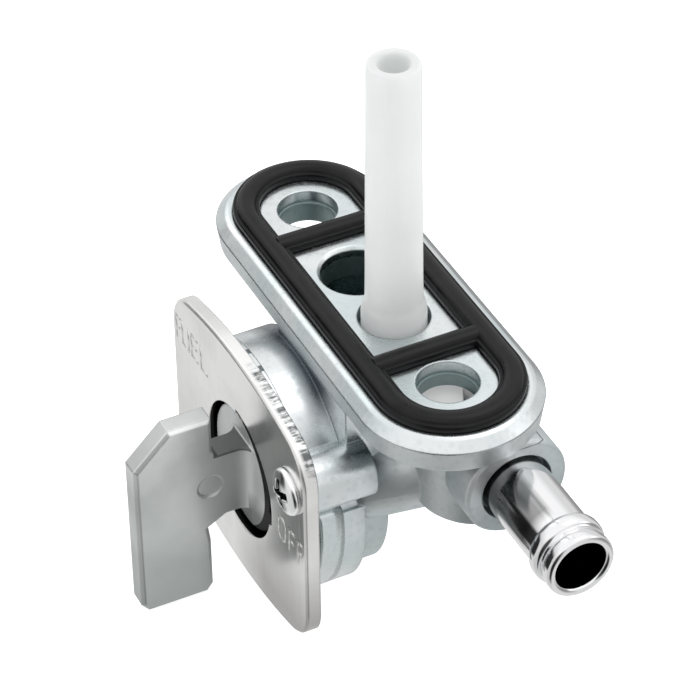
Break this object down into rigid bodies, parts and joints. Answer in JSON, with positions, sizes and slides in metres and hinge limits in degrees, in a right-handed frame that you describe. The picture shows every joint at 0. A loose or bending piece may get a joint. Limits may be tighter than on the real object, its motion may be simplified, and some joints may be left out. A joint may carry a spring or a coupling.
{
  "type": "fuel tap",
  "caption": "Tank-mounted fuel tap with a flanged die-cast body, rubber ladder seal, plastic standpipe, turning lever and hose spigot.",
  "frame": {"origin": "centre of the flange's top face, midway between the two bolt holes", "axes": "+Z along the standpipe into the tank, +X towards the hose spigot, -Y towards the face plate and lever"},
  "size_m": [0.0673, 0.0404, 0.0671],
  "materials": {
    "zinc_casting": "zinc alloy die casting, bright passivated, fine cast grain",
    "seal_rubber": "smooth black rubber, half gloss",
    "milky_nylon": "translucent natural nylon",
    "bright_plating": "bright nickel plated steel",
    "plate_steel": "stamped steel, brushed and plated",
    "lever_zinc": "zinc alloy casting, satin",
    "packing_rubber": "black nitrile rubber",
    "spring_steel": "spring steel strip",
    "screw_plating": "bright zinc plated steel"
  },
  "bodies": {
    "housing": {"body_casting": "zinc_casting", "flange_seal": "seal_rubber", "standpipe": "milky_nylon", "outlet_pipe": "bright_plating", "face_plate": "plate_steel", "valve_packing": "packing_rubber", "wave_washer": "spring_steel", "plate_screws": "screw_plating"},
    "selector": {"lever": "lever_zinc", "rotor_o_ring": "packing_rubber"}
  },
  "joints": [
    {"name": "lever_turn", "type": "hinge", "parent": "housing", "child": "selector", "pos_m": [0, -0.017, -0.0188], "axis": [0, -1, 0], "range_deg": [0, 90]}
  ]
}
